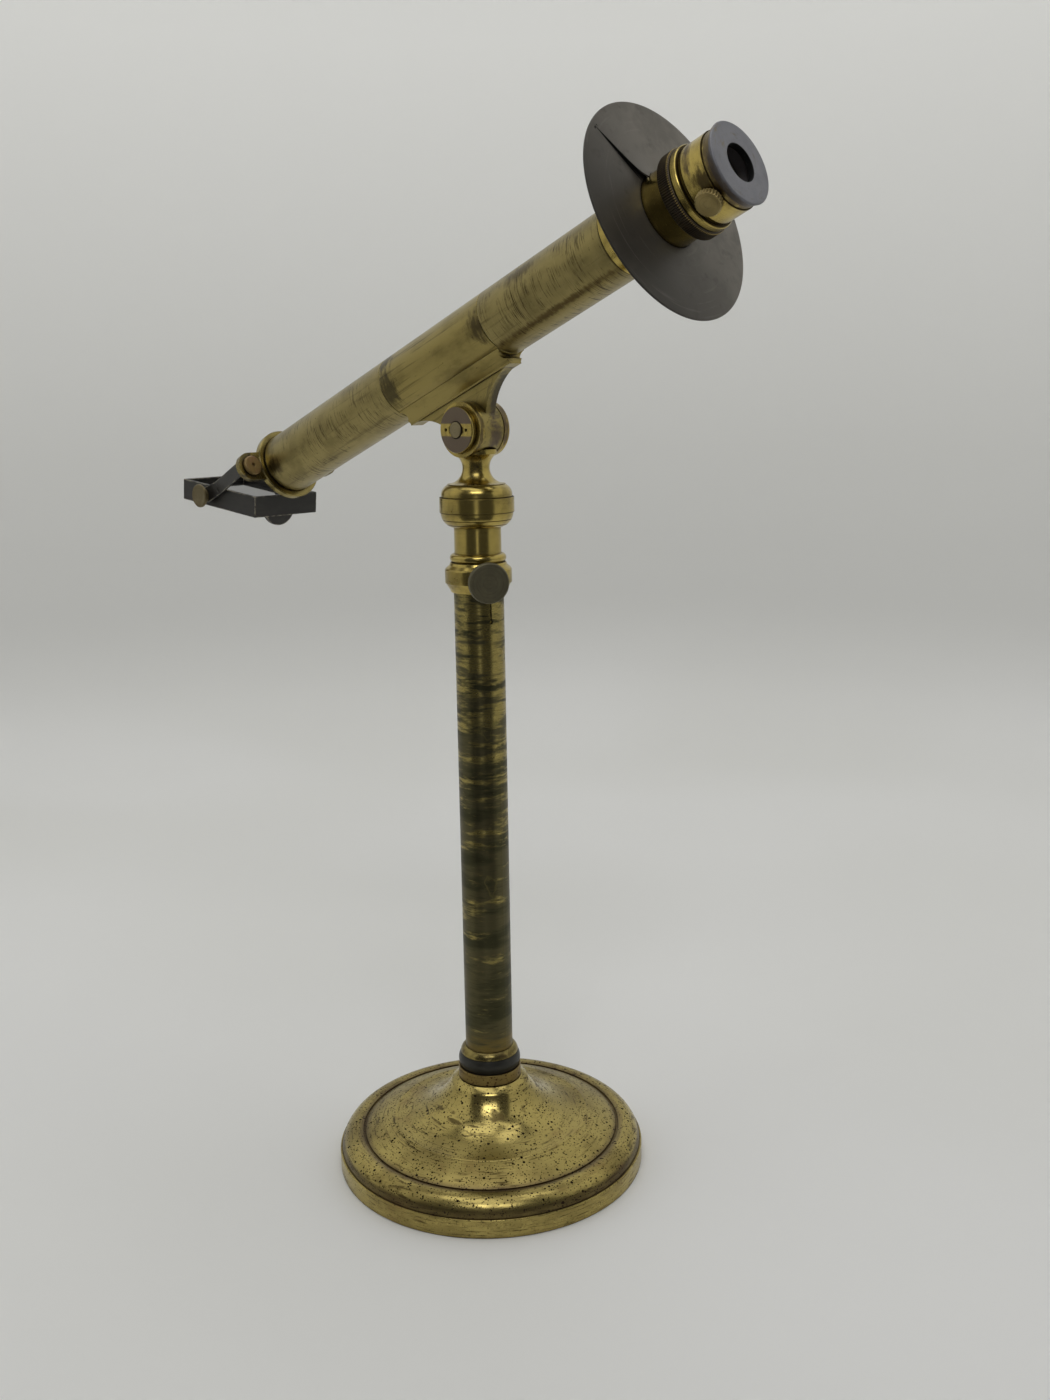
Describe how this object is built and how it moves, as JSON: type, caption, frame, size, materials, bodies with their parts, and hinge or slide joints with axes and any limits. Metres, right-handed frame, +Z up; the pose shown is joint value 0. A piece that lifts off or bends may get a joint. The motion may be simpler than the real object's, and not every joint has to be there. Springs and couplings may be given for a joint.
{
  "type": "polariscope",
  "caption": "Brass table polariscope: a tilting tube with a turning analyser and round eye shade at one end and a pivoted black-glass mirror at the other, on a telescoping pillar and foot.",
  "frame": {"origin": "centre of the foot's bottom face, on the pillar axis", "axes": "+Z up along the pillar, +X the horizontal way the eye end of the tube points, Y along the hinge pin"},
  "size_m": [0.2958, 0.127, 0.4081],
  "materials": {
    "polished_brass": "polished, aged",
    "lacquered_brass": "old pale lacquer, scratched",
    "tarnished_brass": "tarnished in rings",
    "dull_brass": "dull",
    "blackened_brass": "chemically blackened, matte",
    "black_paint": "black japanned, worn at the edges",
    "black_glass": "polished black",
    "calcite": "clear, polished",
    "cork": "raw cork"
  },
  "bodies": {
    "stand": {"foot": "polished_brass", "foot_washer": "dull_brass", "foot_nut": "dull_brass", "pillar_bead": "blackened_brass", "pillar_socket": "polished_brass", "pillar_tube": "tarnished_brass", "clamp_collar": "polished_brass", "pillar_lip": "polished_brass"},
    "clamp": {"clamp_screw": "dull_brass"},
    "riser": {"riser_tube": "polished_brass", "riser_bulb": "polished_brass"},
    "head": {"joint_fork": "polished_brass", "swivel_nut": "dull_brass", "hinge_pin": "polished_brass", "hinge_nut": "polished_brass"},
    "tube": {"tube_saddle": "lacquered_brass", "centre_sleeve": "lacquered_brass", "lower_tube": "lacquered_brass", "upper_tube": "lacquered_brass", "lower_coupling": "dull_brass", "upper_coupling": "dull_brass", "field_stops": "blackened_brass", "end_collar": "polished_brass", "eye_shade": "blackened_brass", "eyepiece_sleeve": "polished_brass"},
    "polariser": {"end_ring": "polished_brass", "near_arm": "black_paint", "far_arm": "black_paint", "arm_screws": "polished_brass"},
    "mirror": {"mirror_frame": "black_paint", "mirror_bed": "cork", "mirror_glass": "black_glass", "far_pivot_screw": "dull_brass"},
    "mirror_lock": {"mirror_thumbscrew": "polished_brass"},
    "analyser": {"milled_ring": "dull_brass", "analyser_body": "polished_brass", "eye_cap": "blackened_brass", "prism_cork": "cork", "nicol_front": "calcite", "nicol_back": "calcite"},
    "analyser_lock": {"analyser_screw": "dull_brass"}
  },
  "joints": [
    {"name": "clamp_turn", "type": "hinge", "parent": "stand", "child": "clamp", "pos_m": [0, 0, 0.2462], "axis": [0.8192, -0.5736, 0], "continuous": true},
    {"name": "riser_slide", "type": "slide", "parent": "stand", "child": "riser", "axis": [0, 0, 1], "range_m": [-0.0095, 0.12]},
    {"name": "head_swivel", "type": "hinge", "parent": "riser", "child": "head", "pos_m": [0, 0, 0.2817], "axis": [0, 0, 1], "continuous": true},
    {"name": "tube_tilt", "type": "hinge", "parent": "head", "child": "tube", "pos_m": [0, 0, 0.3023], "axis": [0, -1, 0], "range_deg": [-67, 35]},
    {"name": "polariser_turn", "type": "hinge", "parent": "tube", "child": "polariser", "pos_m": [-0.01163, 0, 0.32996], "axis": [0.9219, 0, 0.3875], "continuous": true},
    {"name": "mirror_tilt", "type": "hinge", "parent": "polariser", "child": "mirror", "pos_m": [-0.15218, 0, 0.2726], "axis": [0, 1, 0], "continuous": true},
    {"name": "mirror_lock_turn", "type": "hinge", "parent": "mirror", "child": "mirror_lock", "pos_m": [-0.15218, 0, 0.2726], "axis": [0, 1, 0], "continuous": true},
    {"name": "analyser_turn", "type": "hinge", "parent": "tube", "child": "analyser", "pos_m": [-0.01163, 0, 0.32996], "axis": [0.9219, 0, 0.3875], "continuous": true},
    {"name": "analyser_lock_turn", "type": "hinge", "parent": "analyser", "child": "analyser_lock", "pos_m": [0.11131, 0, 0.38163], "axis": [0.2542, -0.7547, -0.6048], "continuous": true}
  ]
}
